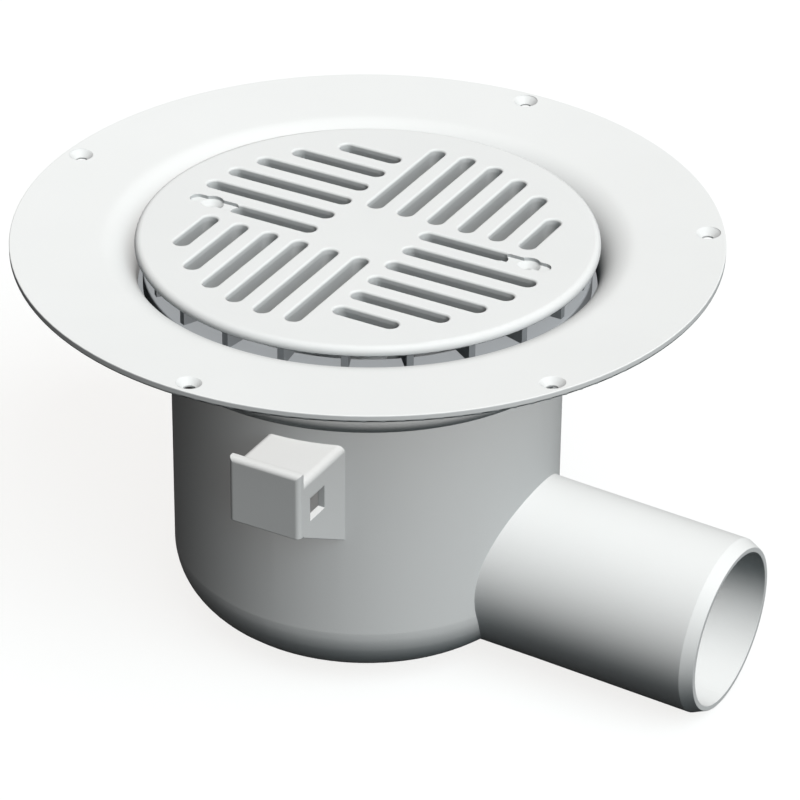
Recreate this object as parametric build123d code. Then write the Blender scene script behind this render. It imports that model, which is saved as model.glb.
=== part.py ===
from build123d import *
import os
from math import atan, cos, degrees, hypot, radians, sin, sqrt, tan

# A plastic floor drain for sheet flooring, with a side outlet, in millimetres.
# The origin is on the drain's axis at finished floor level. +Z points up, and the outlet runs along +X.
# Every height is a depth below floor level, so z = -depth.

# Throat, and the ledge that the clamp ring stands on
throat_radius = 94.7
ledge_depth = 36.5
collar_lower_round = 6.5
collar_neck_round = 2.0

# Dish and flange around the throat
dish_width = 13.3
dish_slope = 12.0
dish_curve = 16.5
flange_width = 38.0
flange_thickness = 3.5
flange_fall = 2.0
flange_lower_round = 1.4
flange_top_round = 0.4
body_wall = 3.0

# Bowl, set in from the throat. Its depth follows from the trap that hangs in it
bowl_set_in = 13.2
bowl_corner_round = 26.8
shoulder_drop = 25.5
shoulder_width = 1.0

# Outlet spigot: a drafted root, a parallel length that fits a pipe's socket, and a bevelled end
outlet_radius = 37.5
outlet_wall = 4.5
outlet_axis_rise = 35.3
outlet_fall = 1.0 / 25.0
outlet_length = 89.1
outlet_parallel_length = 70.0
outlet_root_draft = 0.5
outlet_bevel_length = 5.2
outlet_bevel_width = 2.4
outlet_start = 5.0
outlet_bore_start = 46.0

# Five countersunk fixing holes in the flange
fixing_edge_distance = 7.0
fixing_angles = (180.0, 90.0, -90.0, 30.0, -30.0)
fixing_hole_radius = 2.5
fixing_sink_radius = 5.2

# Lugs on both sides of the bowl
lug_start = -0.2
lug_length = 32.3
lug_wall = 3.0
lug_top_depth = 52.9
lug_edge_round = 3.0
lug_projection = 26.0
lug_height = 25.3
lug_root_height = 44.4
plate_thickness = 3.5
plate_rise = 4.3
plate_height = 29.0
plate_edge_round = 2.0
window_margin = 5.1
window_width = 11.3
window_drop = 9.7
window_height = 10.4

# Grate
grate_overhang = 0.5
grate_rim_thickness = 4.0
grate_rim_round = 2.85
grate_lower_round = 0.6
grate_rim_width = 13.2
core_height = 6.0
core_bevel_width = 4.5
core_bevel_height = 4.0
slot_width = 6.8
slot_rows = 6
slot_first_row = 9.15
slot_last_inset = 17.9
slot_inner_end = 19.5
slot_margin = 15.7
slot_land = 2.4
slot_taper = 7.5
slot_edge_round = 1.0
slot_groups = 4
shelf_length = 20.0
shelf_depth = 1.5
screw_place_inset = 10.5
screw_hole_radius = 2.6
screw_sink_radius = 5.0
screw_pad_radius = 6.5
hub_pocket_width = 27.0
hub_pocket_round = 3.0
hub_rib = 2.5
pad_drop = 0.5

# Clamp ring, with the ribs on its top that carry the grate's rim
rib_count = 22
rib_first_angle = -0.9
rib_thickness = 2.8
rib_inset = 1.8
rib_clearance = 0.5
ring_top_drop = 4.0
ring_gap = 2.5
ring_width = 12.7
ring_wall = 2.8
ring_top_round = 0.8
barb_count = 3
barb_rise = 5.5
barb_pitch = 4.5
barb_height = 2.4
barb_clearance = 0.3
ring_web = 2.0
ear_radius = 6.5
ear_boss_radius = 5.0
ear_boss_length = 16.5
ear_pilot_radius = 2.1
ear_web = 2.5

# Trap seat, fixed in the bowl
seat_clearance = 0.2
seat_wall = 2.5
seat_rim_height = 12.0
seat_fall = 4.0
seat_deck_width = 20.5
collar_height = 16.0
collar_lip = 2.0
collar_lip_thickness = 2.5

# Trap funnel, with its dip tube, fins and pull bar
funnel_clearance = 0.3
funnel_wall = 2.5
funnel_rim_wall = 5.2
funnel_rim_height = 17.0
funnel_rim_round = 1.0
funnel_slope = 32.0
dip_tube_radius = 22.5
groove_depth = 2.8
groove_height = 4.2
groove_offset = 6.0
fin_count = 4
fin_thickness = 2.5
fin_height = 22.0
fin_shoulder = 2.0
bar_width = 9.0
bar_thickness = 4.0
bar_rib = 2.5
bar_rib_height = 6.0

# Trap cup, which lifts out through the seat's collar
cup_side_gap = 11.5
cup_wall = 2.5
cup_rim_gap = 8.0
water_seal = 50.0
cup_floor_gap = 12.0
cup_bowl_gap = 12.2
cup_corner_round = 8.0
cup_fin_clearance = 0.2
bead_depth = 0.8
bead_height = 2.0
bead_offset = 6.0
bead_clearance = 0.2

# O-ring between the trap funnel and the trap seat
seal_clearance = 0.05
seal_round = 1.2

# Values worked out from the sizes above
small_overlap = 1.0
dish_radius = throat_radius + dish_width
flange_radius = dish_radius + flange_width
collar_outer_radius = throat_radius + body_wall
collar_foot_depth = ledge_depth + body_wall
fixing_circle_radius = flange_radius - fixing_edge_distance
fixing_top_depth = flange_fall * fixing_edge_distance / flange_width
dish_corner_depth = flange_fall + dish_width * tan(radians(dish_slope))
bowl_radius = throat_radius - bowl_set_in
bowl_bore = bowl_radius - body_wall
lower_bore = bowl_bore - shoulder_width
shoulder_depth = ledge_depth + shoulder_drop
lug_reach = bowl_radius + lug_projection
plate_top_depth = lug_top_depth - plate_rise
window_start = lug_reach - window_margin - window_width
window_top_depth = lug_top_depth + window_drop
grate_radius = throat_radius + grate_overhang
core_radius = grate_radius - grate_rim_width
core_depth = grate_rim_thickness + core_height
ear_top_depth = core_depth + pad_drop
ring_top_depth = core_depth + ring_top_drop
slot_circle_radius = grate_radius - slot_margin
slot_pitch = (slot_circle_radius - slot_last_inset + slot_first_row) / (slot_rows - 1)
shelf_start = slot_circle_radius - shelf_length
screw_place_reach = slot_circle_radius - screw_place_inset
screw_circle_radius = hypot(screw_place_reach, slot_first_row)
screw_angle = degrees(atan(slot_first_row / screw_place_reach))
ring_outer_radius = throat_radius - ring_gap
ring_inner_radius = ring_outer_radius - ring_width
rib_outer_radius = ring_outer_radius - rib_inset
rib_inner_radius = core_radius + rib_clearance
collar_radius = bowl_bore - seat_deck_width
collar_top_depth = shoulder_depth + seat_fall
collar_foot = collar_top_depth + collar_height
funnel_radius = collar_radius - funnel_clearance
cup_inner_radius = collar_radius - collar_lip - cup_side_gap - cup_wall
funnel_foot_depth = collar_foot - collar_lip_thickness
funnel_top_depth = funnel_foot_depth - funnel_rim_height
funnel_bore = funnel_radius - funnel_rim_wall
groove_top_depth = funnel_top_depth + groove_offset
cup_rim_depth = collar_foot + cup_rim_gap
dip_tube_end_depth = cup_rim_depth + water_seal
cup_floor_depth = dip_tube_end_depth + cup_floor_gap
fin_reach = cup_inner_radius - cup_fin_clearance
bead_centre_depth = cup_rim_depth + bead_offset
bowl_floor_depth = cup_floor_depth + cup_wall + cup_bowl_gap
bowl_depth = bowl_floor_depth + body_wall
outlet_axis_depth = bowl_depth - outlet_axis_rise
outlet_tilt = degrees(atan(outlet_fall))
outlet_bore = outlet_radius - outlet_wall
outlet_end = outlet_length / cos(radians(outlet_tilt))
outlet_bevel_start = outlet_end - outlet_bevel_length
outlet_root_end = outlet_bevel_start - outlet_parallel_length


def turned(*corners):
    """Turn a closed outline about the axis. Each corner is a radius, a depth and the rounding there."""
    points = [(radius, -depth) for radius, depth, rounding in corners]
    roundings = [rounding for radius, depth, rounding in corners]
    outline = FilletPolyline(*points, radius=roundings, close=True)
    return revolve(Plane.XZ * make_face(outline), Axis.Z)


def post(radius, top, foot, x=0.0, y=0.0):
    """An upright round post, or the cutter for such a hole, between two depths."""
    return Pos(x, y, -foot) * extrude(Circle(radius), foot - top)


def block(x_range, y_range, depth_range):
    """A block between two places along X, two along Y and two depths."""
    width = x_range[1] - x_range[0]
    length = y_range[1] - y_range[0]
    height = depth_range[1] - depth_range[0]
    corner = Pos(x_range[0], y_range[0], -depth_range[1])
    return corner * Box(width, length, height, align=(Align.MIN, Align.MIN, Align.MIN))


def around(solid, count, first_angle=0.0):
    """Copies of a solid at even steps about the axis."""
    step = 360.0 / count
    return [Rot(0, 0, first_angle + step * i) * solid for i in range(count)]


def sink(hole_radius, sink_radius, top, foot):
    """The cutter for a countersunk hole, with a 90 degree countersink that ends at the depth top."""
    cone_height = sink_radius - hole_radius
    return turned(
        (0, top - small_overlap, 0),
        (sink_radius, top - small_overlap, 0),
        (sink_radius, top, 0),
        (hole_radius, top + cone_height, 0),
        (hole_radius, foot, 0),
        (0, foot, 0),
    )


def body_outside():
    """The flange, dish, collar and bowl as one filled form."""
    offset = body_wall / cos(radians(dish_slope))
    return turned(
        (0, bowl_depth, 0),
        (bowl_radius, bowl_depth, bowl_corner_round),
        (bowl_radius, collar_foot_depth, collar_neck_round),
        (collar_outer_radius, collar_foot_depth, collar_lower_round),
        (collar_outer_radius, dish_corner_depth + offset - small_overlap * tan(radians(dish_slope)),
         dish_curve - body_wall),
        (dish_radius + body_wall * sin(radians(dish_slope)), flange_fall + body_wall, 0),
        (flange_radius, flange_thickness, flange_lower_round),
        (flange_radius, 0, flange_top_round),
        (dish_radius, flange_fall, 0),
        (0, flange_fall, 0),
    )


def body_inside():
    """The hollow of the dish, throat and bowl."""
    above = -small_overlap
    return turned(
        (0, above, 0),
        (dish_radius, above, 0),
        (dish_radius, flange_fall, 0),
        (throat_radius, dish_corner_depth, dish_curve),
        (throat_radius, ledge_depth, 0),
        (bowl_bore, ledge_depth, 0),
        (bowl_bore, shoulder_depth, 0),
        (lower_bore, shoulder_depth, 0),
        (lower_bore, bowl_floor_depth, bowl_corner_round - body_wall),
        (0, bowl_floor_depth, 0),
    )


def along_outlet(solid):
    """Lay a form made along +Z, from the bowl's wall, along the falling outlet axis."""
    return Pos(bowl_radius, 0, -outlet_axis_depth) * Rot(0, 90 + outlet_tilt, 0) * solid


def outlet_outside():
    """The spigot, filled, with the bevel that eases a pipe socket over it."""
    start = outlet_start - bowl_radius
    root_radius = outlet_radius + (outlet_root_end - start) * tan(radians(outlet_root_draft))
    return along_outlet(turned(
        (0, -start, 0),
        (root_radius, -start, 0),
        (outlet_radius, -outlet_root_end, 0),
        (outlet_radius, -outlet_bevel_start, 0),
        (outlet_radius - outlet_bevel_width, -outlet_end, 0),
        (0, -outlet_end, 0),
    ))


def outlet_inside():
    """The bore of the spigot, from inside the bowl to past its end."""
    start = outlet_bore_start - bowl_radius
    end = outlet_end + small_overlap
    return along_outlet(Pos(0, 0, start) * extrude(Circle(outlet_bore), end - start))


def lug():
    """The lug on the +Y side: a pocket open below, with an end plate and a window through both cheeks."""
    lug_end = lug_start + lug_length
    meets_bowl = sqrt(bowl_radius ** 2 - lug_end ** 2)
    root = meets_bowl - lug_wall
    side = Polyline(
        (root, -lug_top_depth),
        (lug_reach, -lug_top_depth),
        (lug_reach, -lug_top_depth - lug_height),
        (meets_bowl, -lug_top_depth - lug_root_height),
        (root, -lug_top_depth - lug_root_height),
        close=True,
    )
    body = Pos(lug_start, 0, 0) * extrude(Plane.YZ * make_face(side), lug_length)
    top_edges = body.edges().filter_by(Axis.Y).group_by(Axis.Z)[-1]
    body = fillet(top_edges, lug_edge_round)
    cheeks = (lug_start + lug_wall, lug_end - lug_wall)
    body -= block(cheeks, (0, lug_reach), (lug_top_depth + lug_wall, bowl_depth))
    plate_face = lug_reach + plate_thickness
    plate_depths = (plate_top_depth, plate_top_depth + plate_height)
    plate = block((lug_start, lug_end), (lug_reach, plate_face), plate_depths)
    outer_edges = plate.faces().sort_by(Axis.Y)[-1].edges()
    plate = fillet(outer_edges.sort_by(Axis.Z)[1:], plate_edge_round)
    window_depths = (window_top_depth, window_top_depth + window_height)
    window = block((lug_start - small_overlap, lug_end + small_overlap),
                   (window_start, window_start + window_width), window_depths)
    return body - window + plate


def drain_body():
    body = body_outside() + outlet_outside()
    body += [lug(), mirror(lug(), about=Plane.XZ)]
    body -= body_inside()
    body -= outlet_inside()
    hole = sink(fixing_hole_radius, fixing_sink_radius, fixing_top_depth, flange_thickness * 2)
    for angle in fixing_angles:
        body -= Rot(0, 0, angle) * Pos(fixing_circle_radius, 0, 0) * hole
    return body


def slot_span(row):
    """Where a slot's end arcs are centred, for one row of a group."""
    y = slot_first_row - slot_pitch * row
    end_radius = slot_width / 2
    outer = sqrt((slot_circle_radius - end_radius) ** 2 - y ** 2)
    return slot_inner_end + end_radius, outer, y


def slot_sketch(start, end, y):
    """A slot's outline between the centres of its end arcs."""
    return Pos((start + end) / 2, y, 0) * SlotCenterToCenter(end - start, slot_width)


def slot_cutter(start, end, y):
    """One slot: a straight land at the top, then sides that open downwards."""
    outline = slot_sketch(start, end, y)
    land = Pos(0, 0, -slot_land) * extrude(outline, slot_land + small_overlap)
    below = extrude(Pos(0, 0, -slot_land) * outline, ear_top_depth - slot_land, dir=(0, 0, -1),
                    taper=-slot_taper)
    return land + below


def slot_cutters():
    """The six slots of one group. The first stops short of the screw place when it carries one."""
    cutters = []
    for group in range(slot_groups):
        carries_screw = group % 2 == 0
        for row in range(slot_rows):
            start, end, y = slot_span(row)
            if carries_screw and row == 0:
                end = shelf_start - slot_width / 2
            cutters.append(Rot(0, 0, 360.0 / slot_groups * group) * slot_cutter(start, end, y))
    return cutters


def screw_places():
    """The cutters for the two screw places: a slot-wide shelf, a round recess and a countersunk hole."""
    start, end, y = slot_span(0)
    shelf = Pos(0, 0, -shelf_depth) * extrude(slot_sketch(shelf_start, end, y), shelf_depth + small_overlap)
    hole = sink(screw_hole_radius, screw_sink_radius, shelf_depth, ear_top_depth + small_overlap)
    recess = Pos(screw_place_reach, y, 0) * (hole + post(screw_sink_radius, -small_overlap, shelf_depth))
    return around(shelf + recess, 2)


def grate():
    rim = turned(
        (0, 0, 0),
        (grate_radius, 0, grate_rim_round),
        (grate_radius, grate_rim_thickness, grate_lower_round),
        (0, grate_rim_thickness, 0),
    )
    core = turned(
        (0, grate_rim_thickness / 2, 0),
        (core_radius, grate_rim_thickness / 2, 0),
        (core_radius, core_depth - core_bevel_height, 0),
        (core_radius - core_bevel_width, core_depth, 0),
        (0, core_depth, 0),
    )
    body = rim + core
    pad = post(screw_pad_radius, grate_rim_thickness, ear_top_depth, screw_place_reach, slot_first_row)
    body += around(pad, 2)
    half_hub = hub_pocket_width / 2
    hub = extrude(RectangleRounded(hub_pocket_width, hub_pocket_width, hub_pocket_round),
                  core_depth - grate_rim_thickness + small_overlap)
    hub -= block((-half_hub, half_hub), (-hub_rib / 2, hub_rib / 2), (-core_depth, 0))
    hub -= block((-hub_rib / 2, hub_rib / 2), (-half_hub, half_hub), (-core_depth, 0))
    body -= Pos(0, 0, -core_depth - small_overlap) * hub
    body -= slot_cutters()
    top_edges = body.faces().sort_by(Axis.Z)[-1].inner_wires().edges()
    body = fillet(top_edges, slot_edge_round)
    return body - screw_places()


def clamp_ring():
    """A channel, open below, whose two skirts stand on the ledge and whose barbs grip the throat."""
    top = ring_top_depth
    ring = turned(
        (ring_inner_radius, top, 0),
        (ring_outer_radius, top, ring_top_round),
        (ring_outer_radius, ledge_depth, 0),
        (ring_outer_radius - ring_wall, ledge_depth, 0),
        (ring_outer_radius - ring_wall, top + ring_wall, 0),
        (ring_inner_radius + ring_wall, top + ring_wall, 0),
        (ring_inner_radius + ring_wall, ledge_depth, 0),
        (ring_inner_radius, ledge_depth, 0),
    )
    barb_reach = throat_radius - barb_clearance
    root = ring_outer_radius - ring_wall / 2
    for i in range(barb_count):
        depth = ledge_depth - barb_rise - barb_pitch * i
        ring += turned(
            (root, depth, 0),
            (ring_outer_radius, depth, 0),
            (barb_reach, depth, 0),
            (ring_outer_radius, depth + barb_height, 0),
            (root, depth + barb_height, 0),
        )
    half_wall = ring_wall / 2
    web = block((ring_inner_radius + half_wall, ring_outer_radius - half_wall), (-ring_web / 2, ring_web / 2),
                (top + half_wall, ledge_depth))
    ring += around(web, rib_count, rib_first_angle)
    ring += around(rib(), rib_count, rib_first_angle)
    ring += around(ear(), 2, screw_angle)
    pilot = post(ear_pilot_radius, ear_top_depth - small_overlap, ear_top_depth + ear_boss_length + small_overlap,
                 screw_circle_radius)
    ring -= around(pilot, 2, screw_angle)
    return ring


def rib():
    """A rib on the clamp ring: it stands clear of the grate's core and carries the grate's rim."""
    foot = ring_top_depth + ring_wall / 2
    side = Polyline(
        (ring_inner_radius, -foot),
        (ring_inner_radius, -core_depth),
        (rib_inner_radius, core_bevel_height - core_depth),
        (rib_inner_radius, -grate_rim_thickness),
        (rib_outer_radius, -grate_rim_thickness),
        (rib_outer_radius, -foot),
        close=True,
    )
    return Pos(0, rib_thickness / 2, 0) * extrude(Plane.XZ * make_face(side), rib_thickness)


def ear():
    """The ear inside the clamp ring that a grate screw bites in: a tab, a boss and a web under it."""
    top = ear_top_depth
    tab_foot = ring_top_depth + ring_wall
    root = ring_inner_radius + ring_wall / 2
    tab = post(ear_radius, top, tab_foot, screw_circle_radius)
    tab += block((screw_circle_radius, root), (-ear_radius, ear_radius), (top, tab_foot))
    boss = post(ear_boss_radius, top, top + ear_boss_length, screw_circle_radius)
    brace = Polyline(
        (screw_circle_radius, -top),
        (root, -top),
        (root, -top - ear_boss_length - ear_radius),
        (screw_circle_radius, -top - ear_boss_length),
        close=True,
    )
    web = Pos(0, ear_web / 2, 0) * extrude(Plane.XZ * make_face(brace), ear_web)
    return tab + boss + web


def trap_seat():
    """The deck fixed on the bowl's shoulder, falling to the collar that takes the trap."""
    outer = bowl_bore - seat_clearance
    inner = outer - seat_wall
    return turned(
        (outer, shoulder_depth, 0),
        (outer, shoulder_depth - seat_rim_height, 0),
        (inner, shoulder_depth - seat_rim_height, 0),
        (inner, shoulder_depth - seat_wall, funnel_rim_round),
        (collar_radius, collar_top_depth - seat_wall, funnel_rim_round),
        (collar_radius, funnel_foot_depth, 0),
        (collar_radius - collar_lip, funnel_foot_depth, 0),
        (collar_radius - collar_lip, collar_foot, 0),
        (collar_radius + seat_wall, collar_foot, 0),
        (collar_radius + seat_wall, collar_top_depth, funnel_rim_round),
        (inner, shoulder_depth, 0),
    )


def funnel_shell():
    """The rim with its seal groove, the cone and the dip tube."""
    drop = tan(radians(funnel_slope))
    bore = dip_tube_radius - funnel_wall
    cone_top = funnel_top_depth + groove_offset
    cone_foot = cone_top + (funnel_bore - bore) * drop
    under = funnel_wall / cos(radians(funnel_slope))
    underside_start = funnel_bore + collar_lip
    return turned(
        (funnel_radius, funnel_top_depth, funnel_rim_round),
        (funnel_radius, groove_top_depth, 0),
        (funnel_radius - groove_depth, groove_top_depth, 0),
        (funnel_radius - groove_depth, groove_top_depth + groove_height, 0),
        (funnel_radius, groove_top_depth + groove_height, 0),
        (funnel_radius, funnel_foot_depth, 0),
        (funnel_radius - collar_lip - funnel_rim_round, funnel_foot_depth, 0),
        (underside_start - collar_lip, cone_top + under, funnel_rim_round),
        (dip_tube_radius, cone_foot + under - (dip_tube_radius - bore) * drop, funnel_wall),
        (dip_tube_radius, dip_tube_end_depth, 0),
        (bore, dip_tube_end_depth, 0),
        (bore, cone_foot, funnel_wall * 2),
        (funnel_bore, cone_top, funnel_wall),
        (funnel_bore, funnel_top_depth, 0),
    )


def trap_fin():
    """A fin of the dip tube: it slides in the cup, stands on the cup's rim and clicks under a bead."""
    bore = dip_tube_radius - funnel_wall / 2
    shoulder = cup_inner_radius + cup_wall + fin_shoulder
    bead_top = bead_centre_depth - bead_height / 2
    bead_foot = bead_centre_depth + bead_height / 2
    bead_reach = fin_reach + bead_depth - bead_clearance
    cone_at = funnel_top_depth + groove_offset + (funnel_bore - shoulder) * tan(radians(funnel_slope))
    cone_at_tube = funnel_top_depth + groove_offset + (funnel_bore - bore) * tan(radians(funnel_slope))
    side = Polyline(
        (bore, -cone_at_tube - funnel_wall / 2),
        (shoulder, -cone_at - funnel_wall / 2),
        (shoulder, -cup_rim_depth),
        (fin_reach, -cup_rim_depth),
        (fin_reach, -bead_top),
        (bead_reach, -bead_centre_depth),
        (fin_reach, -bead_foot),
        (fin_reach, -cup_rim_depth - fin_height),
        (bore, -cup_rim_depth - fin_height),
        close=True,
    )
    return Pos(0, fin_thickness / 2, 0) * extrude(Plane.XZ * make_face(side), fin_thickness)


def trap_funnel():
    funnel = funnel_shell()
    funnel += around(trap_fin(), fin_count, 180.0 / fin_count)
    half = funnel_bore + small_overlap
    bar_foot = funnel_top_depth + bar_thickness
    funnel += block((-bar_width / 2, bar_width / 2), (-half, half), (funnel_top_depth, bar_foot))
    funnel += block((-bar_rib / 2, bar_rib / 2), (-half, half), (funnel_top_depth, bar_foot + bar_rib_height))
    return funnel


def trap_cup():
    outer = cup_inner_radius + cup_wall
    groove = cup_inner_radius + bead_depth
    half_groove = bead_height / 2 + bead_clearance
    return turned(
        (0, cup_floor_depth, 0),
        (cup_inner_radius, cup_floor_depth, cup_corner_round),
        (cup_inner_radius, bead_centre_depth + half_groove, 0),
        (groove, bead_centre_depth, 0),
        (cup_inner_radius, bead_centre_depth - half_groove, 0),
        (cup_inner_radius, cup_rim_depth, 0),
        (outer, cup_rim_depth, 0),
        (outer, cup_floor_depth + cup_wall, cup_corner_round + cup_wall),
        (0, cup_floor_depth + cup_wall, 0),
    )


def trap_seal():
    """The O-ring, drawn as squeezed between the groove and the collar."""
    inner = funnel_radius - groove_depth + seal_clearance
    outer = collar_radius - seal_clearance
    top = groove_top_depth + seal_clearance * 2
    foot = groove_top_depth + groove_height - seal_clearance * 2
    return turned(
        (inner, top, seal_round),
        (outer, top, seal_round),
        (outer, foot, seal_round),
        (inner, foot, seal_round),
    )


pieces = {
    "drain_body": drain_body(),
    "clamp_ring": clamp_ring(),
    "grate": grate(),
    "trap_seat": trap_seat(),
    "trap_funnel": trap_funnel(),
    "trap_cup": trap_cup(),
    "trap_seal": trap_seal(),
}
os.makedirs("parts", exist_ok=True)
for name, piece in pieces.items():
    export_step(piece, f"parts/{name}.step")
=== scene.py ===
from math import cos, pi, radians, sin

import bpy
from mathutils import Matrix, Vector


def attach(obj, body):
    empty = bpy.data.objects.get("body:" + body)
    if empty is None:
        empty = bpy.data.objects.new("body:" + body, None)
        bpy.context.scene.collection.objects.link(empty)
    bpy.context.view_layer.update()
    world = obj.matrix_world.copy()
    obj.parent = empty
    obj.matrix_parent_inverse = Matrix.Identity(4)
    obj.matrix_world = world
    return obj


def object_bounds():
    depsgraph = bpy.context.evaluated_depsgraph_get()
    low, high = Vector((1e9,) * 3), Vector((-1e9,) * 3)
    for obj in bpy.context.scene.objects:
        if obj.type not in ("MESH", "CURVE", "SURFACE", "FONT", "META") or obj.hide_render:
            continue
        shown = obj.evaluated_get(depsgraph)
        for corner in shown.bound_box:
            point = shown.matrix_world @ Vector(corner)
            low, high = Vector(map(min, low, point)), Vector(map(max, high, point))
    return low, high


# A white plastic floor drain with a slotted grate, a grey clamp ring and a side outlet, in metres.

# The camera, at the photograph's viewing angle
camera_azimuth = 28.7737
camera_elevation = 30.7256
camera_roll = 0.5946
camera_distance = 1.64881
camera_right = 0.0130684
camera_up = -0.0685576
camera_lens = 181.852
sensor_width = 36.0
sight_limit = 20.0

# The light. The inside lamp shines on the grate and the trap from the key lamp's direction.
key_azimuth = 68.0
key_elevation = 66.0
key_strength = 2.87
inside_strength = 2.74
key_angle = 30.0
key_colour = (1.0, 0.99, 0.975)
fill_azimuth = 68.0
fill_elevation = 40.0
fill_strength = 0.68
fill_angle = 60.0
fill_colour = (0.84, 1.0, 1.06)
sky_level = 0.1

# The grate and the pieces behind its slots, which get the inside lamp, with shadows
inside_nodes = ("grate", "trap_seat", "trap_funnel", "trap_cup", "trap_seal")

# Colours, as linear light
white_plastic = (0.865, 0.868, 0.862, 1.0)
grey_plastic = (0.40, 0.42, 0.44, 1.0)
trap_grey = (0.62, 0.64, 0.65, 1.0)
black_rubber = (0.018, 0.018, 0.019, 1.0)
floor_seen = (0.985, 0.985, 0.985, 1.0)
floor_mirrored = (0.30, 0.30, 0.30, 1.0)
floor_bounced = (0.01, 0.01, 0.01, 1.0)
floor_half_width = 12.0

# Moulded plastic
cloud_scale = 14.0
grain_scale = 900.0
ripple_scale = 60.0
colour_variation = 0.02
roughness_below = 0.03
roughness_above = 0.04
grain_strength = 0.4
plastic_specular = 0.15
plastic_ior = 1.49
edge_samples = 4
crease_samples = 8

# Marks that the mould leaves on the hidden underside of the drain's body
flange_mark_count = 18
flange_mark_reach = 0.1235
flange_mark_depth = 0.00436
flange_mark_slope = 0.040
bowl_mark_count = 4
bowl_mark_reach = 0.042
bowl_mark_turn = pi / 4
mark_radius = 0.0032
mark_height = 0.0004
mark_chamfer = 0.00012
mark_sink = 0.00004
mark_sides = 40
gate_radius = 0.0036
gate_height = 0.0011
gate_dimple = 0.0003
gate_dimple_start = 0.6
gate_dimple_inner = 0.35
gate_dimple_inner_share = 0.7
gate_sides = 48

# The soft crease where the body's dish meets its flange
crease_radius = 0.108
crease_half_width = 0.009
crease_softness = 0.006
crease_lowest = -0.008

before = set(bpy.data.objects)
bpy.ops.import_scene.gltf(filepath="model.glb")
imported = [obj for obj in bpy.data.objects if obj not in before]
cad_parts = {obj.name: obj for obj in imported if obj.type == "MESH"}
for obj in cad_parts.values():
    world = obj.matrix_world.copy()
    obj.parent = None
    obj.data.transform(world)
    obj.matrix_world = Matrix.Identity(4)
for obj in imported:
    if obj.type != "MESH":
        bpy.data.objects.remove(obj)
scene = bpy.context.scene
cad_low, cad_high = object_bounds()


def direction(azimuth, elevation):
    """The unit vector from the part towards a place at that azimuth and elevation. Azimuth 0 is at -Y."""
    a, e = radians(azimuth), radians(elevation)
    return Vector((sin(a) * cos(e), -cos(a) * cos(e), sin(e)))


def add_camera():
    """The camera, turned and shifted as the photograph was taken."""
    back = direction(camera_azimuth, camera_elevation)
    a, roll = radians(camera_azimuth), radians(camera_roll)
    level_right = Vector((cos(a), sin(a), 0.0))
    level_up = back.cross(level_right)
    right = level_right * cos(roll) + level_up * sin(roll)
    up = level_up * cos(roll) - level_right * sin(roll)
    eye = back * camera_distance + right * camera_right + up * camera_up
    data = bpy.data.cameras.new("photo_camera")
    data.lens = camera_lens
    data.sensor_width = sensor_width
    data.clip_end = sight_limit
    camera = bpy.data.objects.new("photo_camera", data)
    turn = Matrix((right, up, back)).transposed().to_4x4()
    camera.matrix_world = Matrix.Translation(eye) @ turn
    scene.collection.objects.link(camera)
    scene.camera = camera


def node(tree, kind, **values):
    """A node with its properties and input values set by name."""
    made = tree.nodes.new(kind)
    for name, value in values.items():
        if hasattr(made, name):
            setattr(made, name, value)
        else:
            made.inputs[name.replace("_", " ")].default_value = value
    return made


def new_material(name):
    """An empty node material with its output, and the tree to fill."""
    material = bpy.data.materials.new(name)
    material.use_nodes = True
    tree = material.node_tree
    tree.nodes.clear()
    output = tree.nodes.new("ShaderNodeOutputMaterial")
    return material, tree, output


def soft_crease(tree, place, edge_radius):
    """How far an edge's round reaches: wide along the dish's rim, and edge_radius everywhere else."""
    link = tree.links.new
    parts = tree.nodes.new("ShaderNodeSeparateXYZ")
    link(place, parts.inputs["Vector"])
    flat = tree.nodes.new("ShaderNodeCombineXYZ")
    link(parts.outputs["X"], flat.inputs["X"])
    link(parts.outputs["Y"], flat.inputs["Y"])
    reach = node(tree, "ShaderNodeVectorMath", operation="LENGTH")
    link(flat.outputs["Vector"], reach.inputs[0])
    offset = node(tree, "ShaderNodeMath", operation="SUBTRACT")
    link(reach.outputs["Value"], offset.inputs[0])
    offset.inputs[1].default_value = crease_radius
    away = node(tree, "ShaderNodeMath", operation="ABSOLUTE")
    link(offset.outputs["Value"], away.inputs[0])
    near = node(tree, "ShaderNodeMapRange", interpolation_type="SMOOTHSTEP", From_Min=crease_half_width,
                From_Max=0.0, To_Min=0.0, To_Max=crease_softness)
    link(away.outputs["Value"], near.inputs["Value"])
    high = node(tree, "ShaderNodeMath", operation="GREATER_THAN")
    link(parts.outputs["Z"], high.inputs[0])
    high.inputs[1].default_value = crease_lowest
    wide = node(tree, "ShaderNodeMath", operation="MULTIPLY")
    link(near.outputs["Result"], wide.inputs[0])
    link(high.outputs["Value"], wide.inputs[1])
    radius = node(tree, "ShaderNodeMath", operation="MAXIMUM")
    link(wide.outputs["Value"], radius.inputs[0])
    radius.inputs[1].default_value = edge_radius
    return radius.outputs["Value"]


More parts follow.
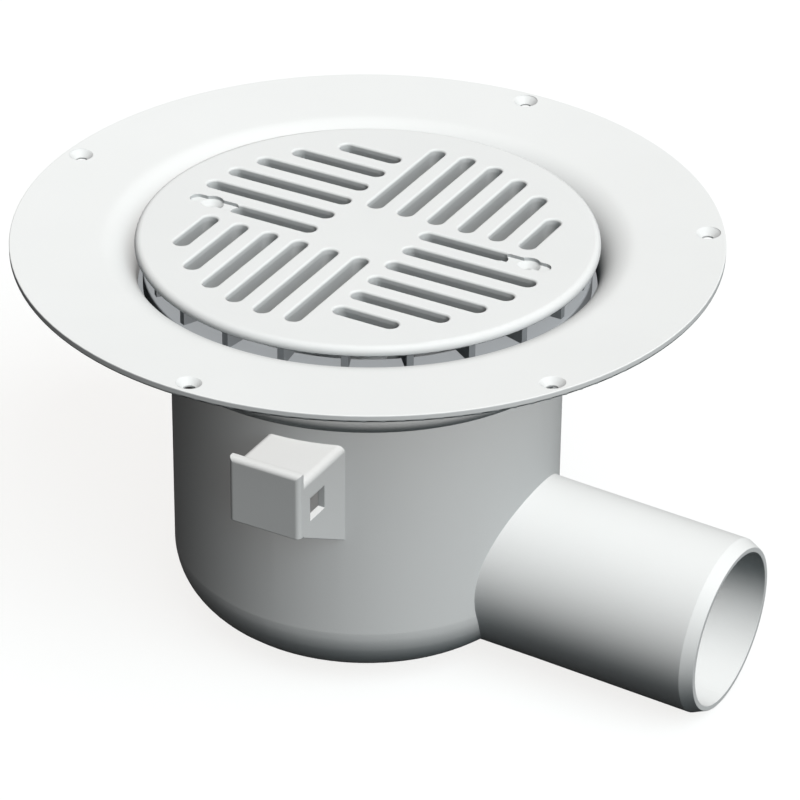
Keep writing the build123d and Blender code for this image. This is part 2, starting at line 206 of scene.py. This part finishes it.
def moulded_plastic(name, colour, roughness, grain_height, edge_radius, creased=False):
    """Moulded plastic: a faint cloudy colour, a fine grain in the surface and softly rounded edges."""
    material, tree, output = new_material(name)
    link = tree.links.new
    place = tree.nodes.new("ShaderNodeTexCoord").outputs["Object"]
    cloud = node(tree, "ShaderNodeTexNoise", Scale=cloud_scale, Detail=3.0)
    link(place, cloud.inputs["Vector"])
    tint = node(tree, "ShaderNodeMapRange", From_Min=0.3, From_Max=0.7, To_Min=1.0 - colour_variation,
                To_Max=1.0)
    link(cloud.outputs["Fac"], tint.inputs["Value"])
    paint = node(tree, "ShaderNodeMix", data_type="RGBA", blend_type="MULTIPLY")
    paint.inputs["Factor"].default_value = 1.0
    paint.inputs[6].default_value = colour
    link(tint.outputs["Result"], paint.inputs[7])
    grain = node(tree, "ShaderNodeTexNoise", Scale=grain_scale, Detail=2.0)
    link(place, grain.inputs["Vector"])
    ripple = node(tree, "ShaderNodeTexNoise", Scale=ripple_scale, Detail=2.0)
    link(place, ripple.inputs["Vector"])
    sheen = node(tree, "ShaderNodeMapRange", From_Min=0.3, From_Max=0.7, To_Min=roughness - roughness_below,
                 To_Max=roughness + roughness_above)
    link(ripple.outputs["Fac"], sheen.inputs["Value"])
    edge = node(tree, "ShaderNodeBevel", samples=edge_samples, Radius=edge_radius)
    if creased:
        edge.samples = crease_samples
        link(soft_crease(tree, place, edge_radius), edge.inputs["Radius"])
    bump = node(tree, "ShaderNodeBump", Strength=grain_strength, Distance=grain_height)
    link(grain.outputs["Fac"], bump.inputs["Height"])
    link(edge.outputs["Normal"], bump.inputs["Normal"])
    shader = node(tree, "ShaderNodeBsdfPrincipled", Specular_IOR_Level=plastic_specular, IOR=plastic_ior)
    link(paint.outputs[2], shader.inputs["Base Color"])
    link(sheen.outputs["Result"], shader.inputs["Roughness"])
    link(bump.outputs["Normal"], shader.inputs["Normal"])
    link(shader.outputs["BSDF"], output.inputs["Surface"])
    return material


def floor_material():
    """Pale to the camera, dimmer in reflections, and dark where it would light the part from below."""
    material, tree, output = new_material("pale_floor")
    link = tree.links.new
    path = tree.nodes.new("ShaderNodeLightPath")
    in_reflection = node(tree, "ShaderNodeMix", data_type="RGBA")
    in_reflection.inputs[6].default_value = floor_bounced
    in_reflection.inputs[7].default_value = floor_mirrored
    link(path.outputs["Is Glossy Ray"], in_reflection.inputs["Factor"])
    looked_at = node(tree, "ShaderNodeMix", data_type="RGBA")
    looked_at.inputs[7].default_value = floor_seen
    link(path.outputs["Is Camera Ray"], looked_at.inputs["Factor"])
    link(in_reflection.outputs[2], looked_at.inputs[6])
    shader = tree.nodes.new("ShaderNodeBsdfDiffuse")
    link(looked_at.outputs[2], shader.inputs["Color"])
    link(shader.outputs["BSDF"], output.inputs["Surface"])
    return material


def add_floor():
    """A wide plain floor that the part stands on."""
    half = floor_half_width
    height = cad_low.z
    corners = [(-half, -half, height), (half, -half, height), (half, half, height), (-half, half, height)]
    mesh = bpy.data.meshes.new("floor")
    mesh.from_pydata(corners, [], [(0, 1, 2, 3)])
    mesh.materials.append(floor_material())
    floor = bpy.data.objects.new("floor", mesh)
    scene.collection.objects.link(floor)


def add_sun(name, azimuth, elevation, strength, angle, colour, plain):
    """A soft lamp far away. A plain one casts no shadow, so it lights each surface by its slope alone."""
    data = bpy.data.lights.new(name, "SUN")
    data.energy = strength
    data.color = colour
    data.angle = radians(angle)
    data.use_shadow = not plain
    lamp = bpy.data.objects.new(name, data)
    lamp.rotation_euler = direction(azimuth, elevation).to_track_quat("Z", "Y").to_euler()
    scene.collection.objects.link(lamp)
    return lamp


def add_direct_sun(name, strength, plain, state):
    """The key lamp's light, never bounced on. It includes or excludes the grate and the trap under it."""
    lamp = add_sun(name, key_azimuth, key_elevation, strength, key_angle, key_colour, plain)
    lamp.data.cycles.max_bounces = 0
    lit = bpy.data.collections.new(name + "_receivers")
    for inside in inside_nodes:
        lit.objects.link(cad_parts[inside])
    for place in lit.collection_objects:
        place.light_linking.link_state = state
    lamp.light_linking.receiver_collection = lit


def add_world():
    """White to the camera and in reflections, and a low even level as light."""
    world = bpy.data.worlds.new("studio")
    world.use_nodes = True
    tree = world.node_tree
    tree.nodes.clear()
    link = tree.links.new
    output = tree.nodes.new("ShaderNodeOutputWorld")
    path = tree.nodes.new("ShaderNodeLightPath")
    white = node(tree, "ShaderNodeBackground", Color=(1.0, 1.0, 1.0, 1.0), Strength=1.0)
    low = node(tree, "ShaderNodeBackground", Color=(1.0, 1.0, 1.0, 1.0), Strength=sky_level)
    mix = tree.nodes.new("ShaderNodeMixShader")
    link(path.outputs["Is Camera Ray"], mix.inputs["Fac"])
    link(low.outputs["Background"], mix.inputs[1])
    link(white.outputs["Background"], mix.inputs[2])
    link(mix.outputs["Shader"], output.inputs["Surface"])
    scene.world = world


def paint_node(name, material):
    """Give every slot of a CAD node one material."""
    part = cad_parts[name]
    if not part.material_slots:
        part.data.materials.append(material)
    for place in part.material_slots:
        place.material = material


def marks_tree():
    """Geometry Nodes for a ring of low round marks, each square to a surface that slopes outwards."""
    tree = bpy.data.node_groups.new("ring_of_marks", "GeometryNodeTree")
    interface = tree.interface
    interface.new_socket("Marks", in_out="OUTPUT", socket_type="NodeSocketGeometry")
    interface.new_socket("Count", in_out="INPUT", socket_type="NodeSocketInt")
    for name in ("Reach", "Depth", "Turn", "Slope", "Mark Radius", "Mark Height", "Mark Chamfer"):
        interface.new_socket(name, in_out="INPUT", socket_type="NodeSocketFloat")
    interface.new_socket("Material", in_out="INPUT", socket_type="NodeSocketMaterial")
    link = tree.links.new
    given = tree.nodes.new("NodeGroupInput").outputs
    ring = tree.nodes.new("GeometryNodeMeshCircle")
    link(given["Count"], ring.inputs["Vertices"])
    link(given["Reach"], ring.inputs["Radius"])

    place = tree.nodes.new("GeometryNodeInputPosition")
    outwards = node(tree, "ShaderNodeVectorMath", operation="NORMALIZE")
    link(place.outputs["Position"], outwards.inputs[0])
    lean = node(tree, "ShaderNodeVectorMath", operation="SCALE")
    link(outwards.outputs["Vector"], lean.inputs[0])
    link(given["Slope"], lean.inputs["Scale"])
    down = node(tree, "ShaderNodeVectorMath", operation="ADD")
    down.inputs[1].default_value = (0.0, 0.0, -1.0)
    link(lean.outputs["Vector"], down.inputs[0])
    turn = node(tree, "FunctionNodeAlignRotationToVector", axis="Z")
    link(down.outputs["Vector"], turn.inputs["Vector"])

    narrow = node(tree, "ShaderNodeMath", operation="SUBTRACT")
    link(given["Mark Radius"], narrow.inputs[0])
    link(given["Mark Chamfer"], narrow.inputs[1])
    mark = node(tree, "GeometryNodeMeshCone", Vertices=mark_sides)
    link(given["Mark Radius"], mark.inputs["Radius Bottom"])
    link(narrow.outputs["Value"], mark.inputs["Radius Top"])
    link(given["Mark Height"], mark.inputs["Depth"])

    spread = tree.nodes.new("GeometryNodeInstanceOnPoints")
    link(ring.outputs["Mesh"], spread.inputs["Points"])
    link(mark.outputs["Mesh"], spread.inputs["Instance"])
    link(turn.outputs["Rotation"], spread.inputs["Rotation"])
    real = tree.nodes.new("GeometryNodeRealizeInstances")
    link(spread.outputs["Instances"], real.inputs["Geometry"])
    negated = node(tree, "ShaderNodeMath", operation="MULTIPLY")
    negated.inputs[1].default_value = -1.0
    link(given["Depth"], negated.inputs[0])
    height = tree.nodes.new("ShaderNodeCombineXYZ")
    link(negated.outputs["Value"], height.inputs["Z"])
    sunk = tree.nodes.new("GeometryNodeTransform")
    link(real.outputs["Geometry"], sunk.inputs["Geometry"])
    link(height.outputs["Vector"], sunk.inputs["Translation"])
    round_axis = tree.nodes.new("ShaderNodeCombineXYZ")
    link(given["Turn"], round_axis.inputs["Z"])
    link(round_axis.outputs["Vector"], sunk.inputs["Rotation"])
    dressed = tree.nodes.new("GeometryNodeSetMaterial")
    link(sunk.outputs["Geometry"], dressed.inputs["Geometry"])
    link(given["Material"], dressed.inputs["Material"])
    made = tree.nodes.new("NodeGroupOutput")
    link(dressed.outputs["Geometry"], made.inputs["Marks"])
    return tree


def join_body(name, mesh):
    """An object for a finished mesh, as a part of the drain's body."""
    piece = bpy.data.objects.new(name, mesh)
    scene.collection.objects.link(piece)
    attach(piece, "root")


def ring_of_marks(name, tree, material, **sizes):
    """One ring of marks as a plain mesh, made by the node tree with these sizes."""
    seed = bpy.data.objects.new(name + "_seed", bpy.data.meshes.new(name + "_seed"))
    scene.collection.objects.link(seed)
    maker = seed.modifiers.new("marks", "NODES")
    maker.node_group = tree
    sockets = {item.name: item.identifier for item in tree.interface.items_tree if item.in_out == "INPUT"}
    for socket, value in sizes.items():
        maker[sockets[socket.replace("_", " ")]] = value
    maker[sockets["Material"]] = material
    ready = seed.evaluated_get(bpy.context.evaluated_depsgraph_get())
    mesh = bpy.data.meshes.new_from_object(ready)
    bpy.data.objects.remove(seed)
    mesh.name = name
    join_body(name, mesh)


def add_gate_stub(material, floor_depth):
    """The trimmed stub of the mould's gate under the bowl, with the dimple that its cutting left."""
    foot = -floor_depth - gate_height
    profile = [
        (gate_radius, -floor_depth + mark_chamfer),
        (gate_radius, foot + 2 * mark_chamfer),
        (gate_radius - mark_chamfer, foot + mark_chamfer),
        (gate_radius - 3 * mark_chamfer, foot),
        (gate_radius * gate_dimple_start, foot),
        (gate_radius * gate_dimple_inner, foot + gate_dimple * gate_dimple_inner_share),
    ]
    steps = gate_sides
    angles = [2 * pi * i / steps for i in range(steps)]
    verts = [(r * cos(angle), r * sin(angle), z) for r, z in profile for angle in angles]
    faces = []
    for k in range(len(profile) - 1):
        for i in range(steps):
            j = (i + 1) % steps
            faces.append((k * steps + j, k * steps + i, (k + 1) * steps + i, (k + 1) * steps + j))
    faces.append(tuple(range(steps)))
    last = (len(profile) - 1) * steps
    tip = len(verts)
    verts.append((0.0, 0.0, foot + gate_dimple))
    for i in range(steps):
        faces.append((last + (i + 1) % steps, last + i, tip))
    mesh = bpy.data.meshes.new("bowl_gate_stub")
    mesh.from_pydata(verts, [], faces)
    mesh.materials.append(material)
    mesh.polygons.foreach_set("use_smooth", [len(f) < 5 for f in faces])
    join_body("bowl_gate_stub", mesh)


def bowl_underside():
    """How deep the bowl's flat underside lies, from the CAD body's points away from the spigot."""
    return -min(v.co.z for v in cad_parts["drain_body"].data.vertices if v.co.x < 0.0)


def add_mould_marks(material):
    """Ejector pin marks under the flange and the bowl, and the gate's stub in the bowl's middle."""
    tree = marks_tree()
    bowl_floor = bowl_underside()
    sizes = {"Mark_Radius": mark_radius, "Mark_Height": mark_height, "Mark_Chamfer": mark_chamfer}
    ring_of_marks("flange_pin_marks", tree, material, Count=flange_mark_count, Reach=flange_mark_reach,
                  Depth=flange_mark_depth, Turn=0.0, Slope=flange_mark_slope, **sizes)
    ring_of_marks("bowl_pin_marks", tree, material, Count=bowl_mark_count, Reach=bowl_mark_reach,
                  Depth=bowl_floor - mark_sink, Turn=bowl_mark_turn, Slope=0.0, **sizes)
    add_gate_stub(material, bowl_floor)


def paint_all():
    """The finish of every CAD node. Returns the body's, for the marks on it."""
    body_white = moulded_plastic("white_polypropylene", white_plastic, 0.5, 0.00004, 0.0004, creased=True)
    grate_white = moulded_plastic("white_grate_plastic", white_plastic, 0.5, 0.00003, 0.0003)
    ring_grey = moulded_plastic("grey_ring_plastic", grey_plastic, 0.5, 0.00005, 0.0003)
    trap_plastic = moulded_plastic("pale_trap_plastic", trap_grey, 0.45, 0.00005, 0.0003)
    rubber = moulded_plastic("black_seal_rubber", black_rubber, 0.6, 0.00005, 0.0003)
    paint_node("drain_body", body_white)
    paint_node("grate", grate_white)
    paint_node("clamp_ring", ring_grey)
    for name in ("trap_seat", "trap_funnel", "trap_cup"):
        paint_node(name, trap_plastic)
    paint_node("trap_seal", rubber)
    return body_white


add_camera()
add_world()
add_floor()
add_direct_sun("key_light", key_strength, True, "EXCLUDE")
add_direct_sun("inside_light", inside_strength, False, "INCLUDE")
add_sun("fill_light", fill_azimuth, fill_elevation, fill_strength, fill_angle, fill_colour, False)
add_mould_marks(paint_all())
scene.view_settings.view_transform = "Standard"
